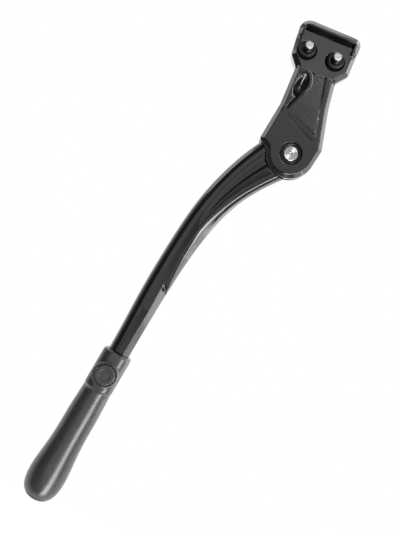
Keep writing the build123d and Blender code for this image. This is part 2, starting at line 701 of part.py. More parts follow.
def collar():
    """Upper half of the lock housing."""
    above = SHANK * Pos(0, 0, SEAM) * Box(8 * BOSS_R, 8 * BOSS_R, 4 * SEAM)
    half = foot_body() & above
    seat = shank_section(LINER_FIT + LINER_T + SEAT_FIT)
    liner_seat = extrude(SHANK.offset(-LINER_BOTTOM) * seat, amount=LINER_BOTTOM - LINER_TOP)
    return half - foot_hollow() - liner_seat


def foot_sleeve():
    """Lower half of the lock housing and the flared foot, one moulding."""
    below = SHANK * Pos(0, 0, -SEAM - 2 * FOOT_LENGTH) * Box(8 * BOSS_R, 8 * BOSS_R, 4 * FOOT_LENGTH)
    return (foot_body() & below) - foot_hollow()


def guide_liner():
    """Slippery liner between the collar and the shank."""
    ring = shank_section(LINER_FIT + LINER_T) - shank_section(LINER_FIT)
    return extrude(SHANK.offset(-LINER_BOTTOM) * ring, amount=LINER_BOTTOM - LINER_TOP)


def sole_plug():
    """Rubber plug that closes the foot and gives the middle of its domed end."""
    plug = rod(SHANK, FOOT_BORE_R - PLUG_FIT, -2 * FOOT_LENGTH, -PLUG_TOP)
    return foot_body() & plug


def lock_spring():
    """Bowed leaf between the yoke's back bar and the cavity's wall."""
    half = LEAF_LENGTH / 2
    low = YOKE_BACK_Y
    inner = ThreePointArc((-half, low), (0, low + LEAF_RISE), (half, low))
    outer = ThreePointArc((-half, low + LEAF_T), (0, low + LEAF_RISE + LEAF_T), (half, low + LEAF_T))
    ends = [Line((-half, low), (-half, low + LEAF_T)), Line((half, low), (half, low + LEAF_T))]
    face = make_face([inner, outer] + ends)
    return extrude(SHANK.offset(-SEAM - LEAF_WIDTH / 2) * face, amount=LEAF_WIDTH)


def button():
    """Round push button with a raised ring on a dished face."""
    depth = BUTTON_BACK_Y - BUTTON_FACE_Y
    turn = Pos(0, BUTTON_BACK_Y, -SEAM) * Rot(90, 0, 0)
    body = extrude(Circle(BUTTON_R), amount=depth)
    body = fillet(body.edges().sort_by(Axis.Z)[-1], BUTTON_EDGE_R)
    dish = Circle(BUTTON_R - 2 * BUTTON_EDGE_R) - Circle(BUTTON_RING_R)
    dish += Circle(BUTTON_RING_R - BUTTON_RING_W)
    body -= extrude(Pos(0, 0, depth - BUTTON_DISH) * dish, amount=BUTTON_DISH)
    return SHANK * turn * body


def lock_yoke():
    """Steel window plate round the shank, behind the button."""
    depth = YOKE_BACK_Y - BUTTON_BACK_Y
    window = Rectangle(YOKE_WIDTH - 2 * YOKE_BAR, depth - 2 * YOKE_BAR)
    face = yoke_outline(0, YOKE_BACK_Y) - Pos(0, (YOKE_BACK_Y + BUTTON_BACK_Y) / 2) * window
    return extrude(SHANK.offset(-SEAM - YOKE_T / 2) * face, amount=YOKE_T)


def grip_pad():
    """Hard pad on the yoke's back bar that bears on the shank."""
    front = SHANK_T / 2 + PAD_RUB_GAP
    face = Pos(0, front + PAD_T / 2) * Rectangle(PAD_WIDTH, PAD_T)
    return extrude(SHANK.offset(-SEAM - YOKE_T / 2) * face, amount=YOKE_T)


PIECES = [
    bracket,
    mount_bolts,
    bolt_washers,
    bolt_keepers,
    pivot_pin,
    pin_ring,
    pin_clip,
    brake_shoe,
    brake_spring,
    leg,
    pivot_bush,
    thrust_washers,
    shank_end_plate,
    shank_end_screw,
    collar,
    foot_sleeve,
    guide_liner,
    sole_plug,
    lock_spring,
    button,
    lock_yoke,
    grip_pad,
]

os.makedirs("parts", exist_ok=True)
for piece in PIECES:
    made = piece()
    groups = made if isinstance(made, list) else [made]
    solids = [TO_MOUNT_FRAME * solid for group in groups for solid in group.solids()]
    export_step(Compound(solids), f"parts/{piece.__name__}.step")
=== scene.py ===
from math import atan2, cos, pi, radians, sin, tau

import bmesh
import bpy
import numpy
from mathutils import Matrix, Vector
from mathutils.kdtree import KDTree


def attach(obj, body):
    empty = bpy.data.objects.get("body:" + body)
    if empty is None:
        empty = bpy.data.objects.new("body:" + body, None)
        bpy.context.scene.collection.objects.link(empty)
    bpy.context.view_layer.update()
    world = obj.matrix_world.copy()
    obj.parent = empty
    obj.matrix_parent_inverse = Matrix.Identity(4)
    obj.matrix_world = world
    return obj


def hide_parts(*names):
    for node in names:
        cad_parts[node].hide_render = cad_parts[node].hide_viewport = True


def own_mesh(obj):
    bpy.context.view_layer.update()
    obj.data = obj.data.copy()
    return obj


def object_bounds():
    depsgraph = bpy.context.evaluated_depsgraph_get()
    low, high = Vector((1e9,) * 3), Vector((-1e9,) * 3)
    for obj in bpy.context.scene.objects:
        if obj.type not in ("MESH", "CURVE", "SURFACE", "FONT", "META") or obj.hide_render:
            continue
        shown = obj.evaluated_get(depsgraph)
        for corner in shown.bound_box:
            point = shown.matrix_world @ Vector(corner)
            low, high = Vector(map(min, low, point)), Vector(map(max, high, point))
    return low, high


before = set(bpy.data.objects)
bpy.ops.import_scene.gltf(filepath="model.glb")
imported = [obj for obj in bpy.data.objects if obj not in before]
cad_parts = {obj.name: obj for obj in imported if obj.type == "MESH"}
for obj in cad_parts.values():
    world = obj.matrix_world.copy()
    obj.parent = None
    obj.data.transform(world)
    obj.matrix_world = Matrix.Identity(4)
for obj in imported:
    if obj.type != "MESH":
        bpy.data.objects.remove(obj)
cad_box = [list(corner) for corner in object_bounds()]


# Bracket: one casting with a leaning seat under a lip, a waist with a raised pad, and two ears.
# It is tumbled, so that all its edges are a little round, and sprayed gloss black.
def select_only(piece):
    """Makes one piece the selected and active one."""
    bpy.ops.object.select_all(action="DESELECT")
    piece.select_set(True)
    bpy.context.view_layer.objects.active = piece


def finer_copy(node, name):
    """A solid's mesh as a new piece, welded."""
    piece = bpy.data.objects.new(name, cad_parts[node].data.copy())
    bpy.context.scene.collection.objects.link(piece)
    select_only(piece)
    bpy.ops.mesh.customdata_custom_splitnormals_clear()
    bpy.ops.object.mode_set(mode="EDIT")
    bpy.ops.mesh.select_all(action="SELECT")
    bpy.ops.mesh.remove_doubles(threshold=0.000002)
    bpy.ops.object.mode_set(mode="OBJECT")
    return piece


def use(piece, kind, **settings):
    """Adds one modifier with these settings and applies it."""
    select_only(piece)
    modifier = piece.modifiers.new(kind.lower(), kind)
    for name, value in settings.items():
        setattr(modifier, name, value)
    bpy.ops.object.modifier_apply(modifier=modifier.name)


def soften(piece, grid, rounds):
    """Rounds all edges and corners as a cast or moulded piece has them, on a fine even mesh."""
    use(piece, "REMESH", mode="VOXEL", voxel_size=grid, use_smooth_shade=True)
    use(piece, "SMOOTH", factor=0.5, iterations=rounds)


def thin(piece, most=170000):
    """Thins a fine mesh on its flat faces, to at most that many triangles."""
    share = most / (2 * len(piece.data.polygons))
    if share < 1:
        use(piece, "DECIMATE", ratio=share)


def ease(piece, line, reach, rounds):
    """Rounds a piece more strongly within reach of a line of points."""
    group = piece.vertex_groups.new(name="eased")
    tree = KDTree(len(line))
    for i, point in enumerate(line):
        tree.insert(point, i)
    tree.balance()
    for corner in piece.data.vertices:
        away = tree.find(corner.co)[2]
        if away < reach:
            group.add([corner.index], min(1, 2 - 2 * away / reach), "REPLACE")
    use(piece, "SMOOTH", factor=0.5, iterations=rounds, vertex_group="eased")
    piece.vertex_groups.clear()


def start_finish(name):
    """A new node material: its node tree, its shader and the piece's own coordinates."""
    finish = bpy.data.materials.new(name)
    finish.use_nodes = True
    tree = finish.node_tree
    place = tree.nodes.new("ShaderNodeTexCoord").outputs["Object"]
    return finish, tree, tree.nodes["Principled BSDF"], place


def cloud(tree, place, size, detail=3.0, roughness=0.5):
    """Noise whose patches are about one size across, in metres."""
    noise = tree.nodes.new("ShaderNodeTexNoise")
    noise.inputs["Scale"].default_value = 1 / size
    noise.inputs["Detail"].default_value = detail
    noise.inputs["Roughness"].default_value = roughness
    tree.links.new(place, noise.inputs["Vector"])
    return noise.outputs["Fac"]


def graded(tree, source, low, high, start=0.3, stop=0.7):
    """A value that runs from low to high as the source goes from start to stop."""
    scale = tree.nodes.new("ShaderNodeMapRange")
    for name, value in (("From Min", start), ("From Max", stop), ("To Min", low), ("To Max", high)):
        scale.inputs[name].default_value = value
    tree.links.new(source, scale.inputs["Value"])
    return scale.outputs["Result"]


def tinted(tree, source, dark, light):
    """A colour between two tints, by a source from 0 to 1."""
    mix = tree.nodes.new("ShaderNodeMix")
    mix.data_type = "RGBA"
    mix.inputs["A"].default_value = (*dark, 1)
    mix.inputs["B"].default_value = (*light, 1)
    tree.links.new(source, mix.inputs["Factor"])
    return mix.outputs["Result"]


def relief(tree, source, height, under=None):
    """A bump of that height in metres, on top of another bump if one is given."""
    bump = tree.nodes.new("ShaderNodeBump")
    bump.inputs["Strength"].default_value = 1.0
    bump.inputs["Distance"].default_value = height
    tree.links.new(source, bump.inputs["Height"])
    if under:
        tree.links.new(under, bump.inputs["Normal"])
    return bump.outputs["Normal"]


def fit(piece, finish, body, node):
    """Gives a piece its finish and puts it on its body in the place of a solid."""
    piece.data.materials.clear()
    piece.data.materials.append(finish)
    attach(piece, body)
    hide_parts(node)


black_paint, tree, shader, place = start_finish("black_paint")
shader.inputs["IOR"].default_value = 1.5
shader.inputs["Coat Weight"].default_value = 1.0
shader.inputs["Coat Roughness"].default_value = 0.07
mottle = graded(tree, cloud(tree, place, 0.006), 0.0, 1.0)
tree.links.new(tinted(tree, mottle, (0.005, 0.005, 0.006), (0.008, 0.0075, 0.008)), shader.inputs["Base Color"])
tree.links.new(graded(tree, cloud(tree, place, 0.011), 0.16, 0.23), shader.inputs["Roughness"])
orange_peel = relief(tree, cloud(tree, place, 0.0011, 2.0), 0.000003)
dust = graded(tree, cloud(tree, place, 0.00035, 1.0), 0.0, 1.0, 0.66, 0.74)
tree.links.new(relief(tree, dust, 0.000003, orange_peel), shader.inputs["Normal"])

MM = 0.001
pivot_frame = Matrix.Translation((5.7 * MM, 25.05 * MM, -57.37 * MM)) @ Matrix.Rotation(radians(12), 4, "X")


def traced(points, depth, step=0.4):
    """Close-set points along a line in the front view at a depth, both in the pivot's frame."""
    line = []
    for (x0, z0), (x1, z1) in zip(points, points[1:]):
        count = max(1, int(((x1 - x0) ** 2 + (z1 - z0) ** 2) ** 0.5 / step))
        for i in range(count + 1):
            t = i / count
            line.append(pivot_frame @ (Vector((x0 + (x1 - x0) * t, depth, z0 + (z1 - z0) * t)) * MM))
    return line


def smooth_line(points, start_run, end_run):
    """A curve through points with known directions at both ends, as a function from 0 to 1."""
    points = numpy.array(points, float)
    gaps = numpy.linalg.norm(numpy.diff(points, axis=0), axis=1)
    knots = numpy.concatenate([[0], numpy.cumsum(gaps)])
    count = len(points)
    table = numpy.zeros((count, count))
    wanted = numpy.zeros((count, 2))
    table[0, 0] = table[-1, -1] = 1
    wanted[0] = start_run
    wanted[-1] = end_run
    slopes = numpy.diff(points, axis=0) / gaps[:, None]
    for i in range(1, count - 1):
        table[i, i - 1:i + 2] = gaps[i], 2 * (gaps[i - 1] + gaps[i]), gaps[i - 1]
        wanted[i] = 3 * (gaps[i] * slopes[i - 1] + gaps[i - 1] * slopes[i])
    runs = numpy.linalg.solve(table, wanted)

    def at(share):
        here = share * knots[-1]
        i = min(max(int(numpy.searchsorted(knots, here)) - 1, 0), count - 2)
        t = (here - knots[i]) / gaps[i]
        value = points[i] * (1 + 2 * t) * (1 - t) ** 2 + points[i + 1] * (3 - 2 * t) * t * t
        value = value + gaps[i] * (runs[i] * t * (1 - t) ** 2 - runs[i + 1] * (1 - t) * t * t)
        return Vector((value[0], 0, value[1]))

    return at


pad_points = [(-7.9, 48.5), (-5.3, 43.2), (-6.1, 37.3), (-9.2, 30.4), (-12.0, 22.6), (-13.0, 19.0)]
pad_edge = smooth_line(pad_points, (0.55, -0.83), (-0.25, -0.97))
pad_front = -12.0
pad_top = 49.0
waist_foot = 19.0
waist_rim = -14.4
heel_corner = (-12.0, 22.6)
dimple_middle = (-10.4, 38.9)
dimple_lean = radians(6)


def run_out(value):
    """Goes softly from 0 to 1 as the value does."""
    value = numpy.clip(value, 0, 1)
    return value * value * (3 - 2 * value)


def shape_waist(piece):
    """Shapes the waist's front beside the pad: a hollow that falls off from the pad's S-shaped edge
    and runs out softly at the rim, with a finger-shaped dimple in it."""
    corners = numpy.empty(3 * len(piece.data.vertices))
    piece.data.vertices.foreach_get("co", corners)
    corners = corners.reshape(-1, 3)
    back = numpy.array(pivot_frame.inverted())
    spots = (corners @ back[:3, :3].T + back[:3, 3]) / MM
    near = (spots[:, 1] < -7.4) & (spots[:, 0] > waist_rim) & (spots[:, 2] > waist_foot) & (spots[:, 2] < pad_top)
    x, y, z = spots[near].T
    line = numpy.array([pad_edge(i / 400) for i in range(401)])[:, [0, 2]]
    run = numpy.gradient(line, axis=0)
    run = run / numpy.linalg.norm(run, axis=1)[:, None]
    gap = numpy.stack([x, z], 1)[:, None] - line[None]
    closest = numpy.argmin((gap ** 2).sum(2), 1)
    gap = gap[numpy.arange(len(x)), closest]
    aside = gap[:, 0] * run[closest, 1] - gap[:, 1] * run[closest, 0]
    above_heel = ((x - heel_corner[0]) * 3.7 + (z - heel_corner[1]) * 3.6) / 5.16
    pad = (0.9 - 1.8 * (49.3 - z) / 37.5) * run_out(above_heel / 3.0)
    hollow = 0.3 * numpy.clip(x - waist_rim, 0, 6) * run_out((aside - 0.5) / 1.6) * run_out((pad_top - z) / 3.5)
    from_x, from_z = x - dimple_middle[0], z - dimple_middle[1]
    along = from_x * sin(dimple_lean) + from_z * cos(dimple_lean)
    across = from_x * cos(dimple_lean) - from_z * sin(dimple_lean)
    inside = numpy.clip(1 - (along / 6.6) ** 2 - (across / 3.0) ** 2, 0, 1)
    bead = 0.3 * numpy.exp(-((aside - 0.1) / 0.5) ** 2) * run_out((above_heel + 1) / 3.0)
    depth = pad * (1 - run_out((aside + 0.5) / 1.2)) - bead + hollow + 2.4 * inside ** 1.2
    part = run_out((aside + 3.0) / 1.5) * run_out((z - waist_foot) / 2.5)
    y = y + (depth + pad_front - y) * part
    ahead = numpy.array(pivot_frame)
    corners[near] = (numpy.stack([x, y, z], 1) * MM) @ ahead[:3, :3].T + ahead[:3, 3]
    piece.data.vertices.foreach_set("co", corners.ravel())
    piece.data.update()


casting_grid = 0.00024
bracket = finer_copy("bracket", "bracket_casting")
soften(bracket, casting_grid, 5)
shape_waist(bracket)
soften(bracket, casting_grid, 3)
ease(bracket, traced([heel_corner, (-8.4, 18.9), (9.6, 11.8)], -12.3), 4.0 * MM, 120)
lip_sides = (-24.0, -22.6, 11.8, 13.4)
lip_depths = (-12.0, -10.5, -9.0, -7.5)
lip_ends = []
for side in lip_sides:
    for depth in lip_depths:
        lip_ends += traced([(side, 68.6), (side, 67.4)], depth)
ease(bracket, lip_ends, 2.4 * MM, 80)
thin(bracket)
fit(bracket, black_paint, "bracket", "bracket")


# Mount bolts: two M6 socket-head bolts put in from the back, turned from bright steel.
# All but the cut face at the free end is coloured near black as painted shade and dark reflection; the cut face
# keeps the steel's bright colour.
def lathe(name, profile, place, count=96, shape=None):
    """A turned piece: a circle extruded along a profile of (radius, height) in millimetres.
    A profile that ends where it began makes a ring; a shape adds to the radius."""
    ring = profile[0] == profile[-1]
    bpy.ops.object.select_all(action="DESELECT")
    bpy.ops.mesh.primitive_circle_add(vertices=count, fill_type="NOTHING" if ring else "NGON")
    piece = bpy.context.active_object
    piece.name = name
    bpy.ops.object.mode_set(mode="EDIT")
    bpy.ops.mesh.select_all(action="SELECT")
    for step, (radius, height) in enumerate(profile):
        if step and ring:
            bpy.ops.mesh.extrude_edges_move()
        elif step:
            bpy.ops.mesh.extrude_region_move()
        mesh = bmesh.from_edit_mesh(piece.data)
        for corner in mesh.verts:
            if corner.select:
                angle = atan2(corner.co.y, corner.co.x)
                reach = radius + (shape(angle, radius, height) if shape else 0)
                corner.co = (reach * cos(angle), reach * sin(angle), height)
        bmesh.update_edit_mesh(piece.data)
    bpy.ops.mesh.select_all(action="SELECT")
    bpy.ops.mesh.remove_doubles(threshold=0.0001)
    bpy.ops.mesh.normals_make_consistent(inside=False)
    bpy.ops.object.mode_set(mode="OBJECT")
    piece.data.transform(place @ Matrix.Scale(MM, 4))
    bpy.ops.object.shade_smooth_by_angle(angle=radians(35))
    return piece


def joined(name, pieces):
    """Several pieces as one."""
    bpy.ops.object.select_all(action="DESELECT")
    for piece in pieces:
        piece.select_set(True)
    bpy.context.view_layer.objects.active = pieces[0]
    bpy.ops.object.join()
    pieces[0].name = name
    return pieces[0]


def cut_away(piece, cutter):
    """Takes one piece's volume out of another and throws the cutter away."""
    use(piece, "BOOLEAN", operation="DIFFERENCE", solver="MANIFOLD", object=cutter)
    bpy.data.objects.remove(cutter)


bolt_head_radius = 5.0
thread_radius = 3.0


def bolt_shape(angle, radius, height):
    """Knurl on the head and a 1 mm thread on the free end."""
    if radius == bolt_head_radius:
        return -0.14 * abs((angle / tau * 36) % 1 * 2 - 1)
    if radius == thread_radius:
        return -0.55 * max(0, abs((height - angle / tau) % 1 * 2 - 1) - 0.12) / 0.88
    return 0


bolt_steel_with_painted_shade, tree, shader, place = start_finish("bolt_steel_with_painted_shade")
shader.inputs["Metallic"].default_value = 1.0
axes = tree.nodes.new("ShaderNodeSeparateXYZ")
tree.links.new(place, axes.inputs["Vector"])
# Painted shade: only the cut end face keeps the steel's bright colour and lower roughness; the rest of the bolt gets
# a near-black colour standing in for shade and dark reflection.
end_free_of_painted_shade = graded(tree, axes.outputs["Y"], 1.0, 0.0, -0.00512, -0.00485)
tree.links.new(tinted(tree, end_free_of_painted_shade, (0.030, 0.030, 0.032), (0.66, 0.66, 0.68)), shader.inputs["Base Color"])
tree.links.new(graded(tree, end_free_of_painted_shade, 0.38, 0.30, 0.0, 1.0), shader.inputs["Roughness"])
tree.links.new(relief(tree, cloud(tree, place, 0.0005, 3.0), 0.00003), shader.inputs["Normal"])

bolt_profile = [(4.2, -24.2), (4.75, -24.0), (bolt_head_radius, -23.5), (bolt_head_radius, -18.5)]
bolt_profile += [(4.8, -18.2), (2.7, -18.2), (2.7, 0.0)]
bolt_profile += [(thread_radius, i / 12) for i in range(54)]
bolt_profile += [(2.9, 4.6), (2.3, 5.14), (2.1, 5.2), (1.2, 5.2), (0.4, 5.17)]
bolt_axes = [Matrix.Translation((x * MM, 0, 0)) @ Matrix.Rotation(radians(90), 4, "X") for x in (-9, 9)]
bolts = []
for axis in bolt_axes:
    bolt = lathe("bolt", bolt_profile, axis, 144, bolt_shape)
    cut_away(bolt, lathe("socket", [(2.887, -25.0), (2.887, -21.0)], axis, 6))
    bpy.ops.object.shade_smooth_by_angle(angle=radians(35))
    bolts.append(bolt)
fit(joined("bolt_pair", bolts), bolt_steel_with_painted_shade, "bracket", "mount_bolts")


# Bolt washers: stamped from bright zinc-plated strip, one under each bolt head.
# The press leaves one edge a little rounder than the other.
turned_steel, tree, shader, place = start_finish("turned_steel")
shader.inputs["Metallic"].default_value = 1.0
mottle = graded(tree, cloud(tree, place, 0.002), 0.0, 1.0)
tree.links.new(tinted(tree, mottle, (0.56, 0.56, 0.58), (0.66, 0.66, 0.68)), shader.inputs["Base Color"])
tree.links.new(graded(tree, cloud(tree, place, 0.0012), 0.18, 0.27), shader.inputs["Roughness"])
tree.links.new(relief(tree, cloud(tree, place, 0.00025, 2.0), 0.000006), shader.inputs["Normal"])

washer_profile = [(3.3, -18.1), (3.4, -18.2), (6.05, -18.2), (6.2, -18.05), (6.2, -17.3), (5.9, -17.0), (3.6, -17.0)]
washer_profile += [(3.3, -17.2), (3.3, -18.1)]
washers = [lathe("washer", washer_profile, axis) for axis in bolt_axes]
fit(joined("washer_pair", washers), turned_steel, "bracket", "bolt_washers")


# Bolt keepers: moulded black plastic rings with finger ribs, pressed over the bolt ends.
# They keep the bolts from falling out before the stand is mounted.
black_plastic, tree, shader, place = start_finish("black_plastic")
mottle = graded(tree, cloud(tree, place, 0.003), 0.0, 1.0)
tree.links.new(tinted(tree, mottle, (0.006, 0.006, 0.007), (0.011, 0.011, 0.012)), shader.inputs["Base Color"])
tree.links.new(graded(tree, cloud(tree, place, 0.002), 0.24, 0.34), shader.inputs["Roughness"])
tree.links.new(relief(tree, cloud(tree, place, 0.0003, 2.0), 0.00001), shader.inputs["Normal"])


keeper_radius = 4.9


def keeper_ribs(angle, radius, height):
    """Half-round ribs along the outside."""
    if radius != keeper_radius:
        return 0
    aside = ((angle / tau * 24) % 1 - 0.5) * 1.283
    return max(0, 0.09 - aside * aside) ** 0.5


keeper_profile = [(3.05, -4.2), (keeper_radius, -4.2), (keeper_radius, -0.5), (4.75, -0.15), (4.45, 0.0)]
keeper_profile += [(3.75, 0.0), (3.6, -0.12), (3.5, -0.5), (3.05, -0.5), (3.05, -4.2)]
keepers = [lathe("keeper", keeper_profile, axis, 288, keeper_ribs) for axis in bolt_axes]
fit(joined("keeper_pair", keepers), black_plastic, "bracket", "bolt_keepers")


# Pivot pin: turned from bright bar, with the tool's rings and a centre hole in its front end.
# A groove at its tail takes the clip.
pin_axis = pivot_frame @ Matrix.Rotation(radians(90), 4, "X")
pin_profile = [(4.0, -13.0), (4.4, -12.6), (4.4, -11.7), (3.5, -11.7), (3.5, -10.6), (4.4, -10.6), (4.4, 10.9)]
pin_profile += [(4.3, 11.1), (4.05, 11.27)]
pin_profile += [(3.9 - 0.15 * i, 11.3 - 0.024 * (i % 2)) for i in range(20)]
pin_profile += [(0.8, 11.26), (0.5, 11.0), (0.1, 10.8)]
pin = lathe("pin", pin_profile, pin_axis, 128)
bpy.ops.object.shade_smooth_by_angle(angle=radians(8))
fit(pin, turned_steel, "bracket", "pivot_pin")


# Pin ring: a black plastic ring with two raised lips that closes the seat round the pin's end.
# It is pressed in and keeps dirt out of the pivot.
ring_profile = [(4.45, 10.2), (6.3, 10.2), (6.3, 11.0), (6.2, 11.25), (5.95, 11.4), (5.7, 11.38), (5.55, 11.2)]
ring_profile += [(5.35, 11.1), (5.15, 11.2), (5.0, 11.38), (4.8, 11.4), (4.55, 11.25), (4.45, 11.0), (4.45, 10.2)]
ring = lathe("ring", ring_profile, pin_axis, 128)
fit(ring, black_plastic, "bracket", "pin_ring")


# Pin clip: a spring clip stamped from oiled strip, pushed into the pin's groove from below.
# The stamping leaves its edges slightly round.
spring_steel, tree, shader, place = start_finish("spring_steel")
shader.inputs["Metallic"].default_value = 1.0
mottle = graded(tree, cloud(tree, place, 0.0015), 0.0, 1.0)
tree.links.new(tinted(tree, mottle, (0.22, 0.22, 0.24), (0.32, 0.32, 0.34)), shader.inputs["Base Color"])
tree.links.new(graded(tree, cloud(tree, place, 0.001), 0.24, 0.36), shader.inputs["Roughness"])
tree.links.new(relief(tree, cloud(tree, place, 0.0004, 2.0), 0.00001), shader.inputs["Normal"])

clip = finer_copy("pin_clip", "clip")
soften(clip, 0.0001, 3)
fit(clip, spring_steel, "bracket", "pin_clip")


# Brake: a shoe of natural slippery plastic that a coil spring pushes on to the leg's tang.
# Both sit in a blind bore in the bracket and are put in before the leg.
slide_plastic, tree, shader, place = start_finish("slide_plastic")
mottle = graded(tree, cloud(tree, place, 0.003), 0.0, 1.0)
tree.links.new(tinted(tree, mottle, (0.70, 0.69, 0.65), (0.78, 0.77, 0.73)), shader.inputs["Base Color"])
tree.links.new(graded(tree, cloud(tree, place, 0.002), 0.30, 0.42), shader.inputs["Roughness"])


def dress(node, finish):
    """Gives a solid that keeps its own mesh its finish."""
    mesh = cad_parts[node].data
    mesh.materials.clear()
    mesh.materials.append(finish)


dress("brake_shoe", slide_plastic)
dress("brake_spring", spring_steel)


# Leg: a forging with a round tang between the ears, a rounded left edge, a tapering groove and
# rib, a bevel on its right, and a straight notched shank. It has the bracket's gloss black.
shank_lean = radians(7.6)
shank_down = Vector((-sin(shank_lean), 0, -cos(shank_lean)))
shank_across = Vector((cos(shank_lean), 0, -sin(shank_lean)))
shank_top = Vector((-49.1, 0, -149.5))
leg_end_width = 13.4

leg_left = [(-16.1, 4.9), (-29.2, -16.8), (-40.6, -46.8), (-46.6, -75.5), (-51.5, -109.1)]
leg_right = [(6.0, -10.7), (-5.0, -22.9), (-18.8, -42.9), (-27.3, -65.0), (-34.6, -97.5)]
left_end = shank_top - shank_across * leg_end_width / 2
right_end = shank_top + shank_across * leg_end_width / 2
end_run = (shank_down.x, shank_down.z)
left_line = smooth_line(leg_left + [(left_end.x, left_end.z)], (-0.6, -0.8), end_run)
right_line = smooth_line(leg_right + [(right_end.x, right_end.z)], (-0.64, -0.77), end_run)


def leg_ring(share):
    """Points round the leg at a share of its length, with every corner of the section rounded."""
    left = left_line(share)
    right = right_line(share)
    across = (right - left).normalized()
    half = (right - left).length / 2
    half_t = 9.0 - 3.6 * min(1, share / 0.8)
    bevel = numpy.interp(share, [0, 0.14, 0.28, 0.42, 0.55, 0.7, 1], [2.7, 2.7, 3.2, 3.7, 2.8, 0.4, 0.4])
    slope = bevel / 2.7
    fade = max(0.0, 1 - (share / 0.42)) ** 0.8
    turn = numpy.interp(share, [0, 0.34, 0.43, 1], [1, 1, 0, 0])
    reach = 0.3 + 1.5 * fade
    front = -half_t
    section = [
        ((-half, half_t), 2.2),
        ((-half, front), 7.0),
        ((0.3 - 2.6 * reach, front), 1.1 * reach),
        ((0.3, front + 1.2 * fade), 0.5 * reach),
        ((0.8 + reach, front), 0.45 * reach),
        ((half - bevel - 2.3, front), 0.9),
        ((half - bevel, front + 0.6 * slope), 0.5 - 0.2 * turn),
        ((half - 0.35 * bevel, front + (2.55 - 0.68 * turn) * slope), 0.9),
        ((half, front + 3.6 * slope), 0.5 + 0.4 * turn),
        ((half, half_t), 2.2),
    ]
    corners = [Vector(corner) for corner, cut in section]
    points = []
    for i, (corner, cut) in enumerate(section):
        here = corners[i]
        before = here + (corners[i - 1] - here).normalized() * cut
        after = here + (corners[(i + 1) % len(corners)] - here).normalized() * cut
        for step in range(6):
            t = step / 5
            flat = before * (1 - t) ** 2 + here * 2 * t * (1 - t) + after * t * t
            points.append(pivot_frame @ (((left + right) / 2 + across * flat.x + Vector((0, flat.y, 0))) * MM))
    return points


def plate(name, outline, near, far):
    """A flat outline in the leg's front view, in millimetres, made solid between two depths."""
    bpy.ops.object.select_all(action="DESELECT")
    bpy.ops.mesh.primitive_circle_add(vertices=len(outline), fill_type="NGON")
    piece = bpy.context.active_object
    piece.name = name
    for corner, (x, z) in zip(piece.data.vertices, outline):
        corner.co = pivot_frame @ (Vector((x, near, z)) * MM)
    bpy.ops.object.mode_set(mode="EDIT")
    bpy.ops.mesh.select_all(action="SELECT")
    push = pivot_frame.to_3x3() @ Vector((0, far - near, 0)) * MM
    bpy.ops.mesh.extrude_region_move(TRANSFORM_OT_translate={"value": push})
    bpy.ops.mesh.select_all(action="SELECT")
    bpy.ops.mesh.normals_make_consistent(inside=False)
    bpy.ops.object.mode_set(mode="OBJECT")
    return piece


def circle(radius, count=96):
    """Points round the pivot in the leg's front view."""
    return [(radius * cos(tau * i / count), radius * sin(tau * i / count)) for i in range(count)]


bpy.ops.object.select_all(action="DESELECT")
first_ring = leg_ring(0)
bpy.ops.mesh.primitive_circle_add(vertices=len(first_ring), fill_type="NGON")
leg = bpy.context.active_object
leg.name = "leg_forging"
for corner, point in zip(leg.data.vertices, first_ring):
    corner.co = point
bpy.ops.object.mode_set(mode="EDIT")
bpy.ops.mesh.select_all(action="SELECT")
leg_steps = 90
for step in range(1, leg_steps + 1):
    bpy.ops.mesh.extrude_region_move()
    mesh = bmesh.from_edit_mesh(leg.data)
    end_face = [face for face in mesh.faces if face.select][0]
    for corner, point in zip(end_face.verts, leg_ring(step / leg_steps)):
        corner.co = point
    bmesh.update_edit_mesh(leg.data)
bpy.ops.mesh.select_all(action="SELECT")
bpy.ops.mesh.normals_make_consistent(inside=False)
bpy.ops.object.mode_set(mode="OBJECT")

# The lower facet starts in a point on the front face and runs to the collar
facet_tip = Vector((-39.1, 0, -100.6))
facet_run = Vector((-0.1372, 0, -0.9906))
facet_side = Vector((0.9906, 0, -0.1372))
bpy.ops.object.select_all(action="DESELECT")
bpy.ops.mesh.primitive_circle_add(vertices=3, fill_type="NGON")
facet = bpy.context.active_object
wedge = [(-15.0, -20.4), (20.0, 14.6), (20.0, -20.4)]
bpy.ops.object.mode_set(mode="EDIT")
bpy.ops.mesh.select_all(action="SELECT")
for start, slant in ((0.0, 1.33), (110.0, 0.0)):
    if start:
        bpy.ops.mesh.extrude_region_move()
    mesh = bmesh.from_edit_mesh(facet.data)
    end_face = [face for face in mesh.faces if face.select][0]
    for corner, (side, depth) in zip(end_face.verts, wedge):
        spot = facet_tip + facet_side * side + facet_run * (start + slant * side) + Vector((0, depth, 0))
        corner.co = pivot_frame @ (spot * MM)
    bmesh.update_edit_mesh(facet.data)
bpy.ops.mesh.select_all(action="SELECT")
bpy.ops.mesh.normals_make_consistent(inside=False)
bpy.ops.object.mode_set(mode="OBJECT")
cut_away(leg, facet)

# The shoulders clear the ears' round ends and the stop nub; the tang stays between them
shoulder = [(-60.0, 20.4), (-14.76, -2.22)]
for angle in range(190, 300, 4):
    reach = max(15.3, 15.2 / max(0.5, cos(radians(angle - 260)))) if angle > 262 else 15.3
    shoulder.append((reach * cos(radians(angle)), reach * sin(radians(angle))))
shoulder += [(40.0, -20.0), (40.0, 60.0), (-60.0, 60.0)]
cut_away(leg, plate("front_shoulder", shoulder, -30, -4))
cut_away(leg, plate("back_shoulder", shoulder, 4, 30))

